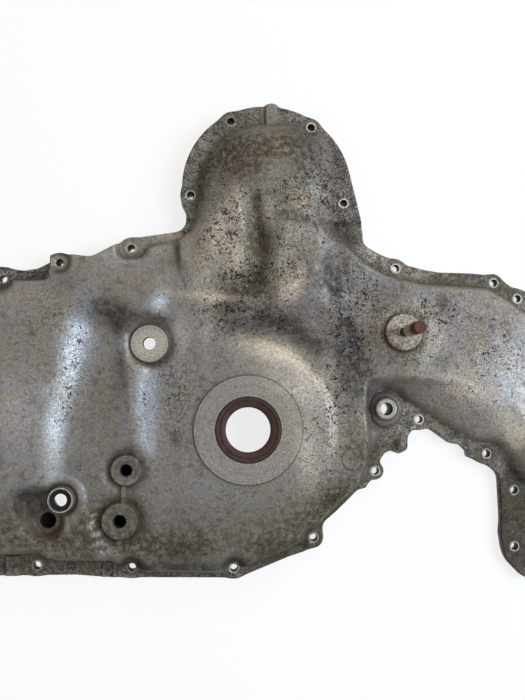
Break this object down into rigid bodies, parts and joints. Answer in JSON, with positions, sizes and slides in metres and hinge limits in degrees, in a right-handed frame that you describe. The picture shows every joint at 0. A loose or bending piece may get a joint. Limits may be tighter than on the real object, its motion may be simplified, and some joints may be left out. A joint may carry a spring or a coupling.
{
  "type": "timing cover",
  "caption": "Wide cast engine timing cover with a domed top, side wings, a crankshaft opening with its rubber seal, machined bosses and a steel stud.",
  "frame": {"origin": "centre of the bounding box in plan, on the mating face", "axes": "+X along the cover's length towards the wing that carries the stud, +Y towards the dome, +Z out of the front face"},
  "size_m": [0.647, 0.4722, 0.085],
  "materials": {
    "cast_aluminium": "weathered and stained casting with dark pits, machined at the seal, the bosses and the bolt holes",
    "seal_rubber": "satin brown moulded rubber",
    "seal_steel": "plain steel",
    "stud_steel": "rusted steel with a worn bright shoulder"
  },
  "bodies": {
    "root": {"cover_casting": "cast_aluminium", "crank_seal": "seal_rubber", "seal_case": "seal_steel", "seal_spring": "seal_steel", "tensioner_stud": "stud_steel"}
  },
  "joints": []
}
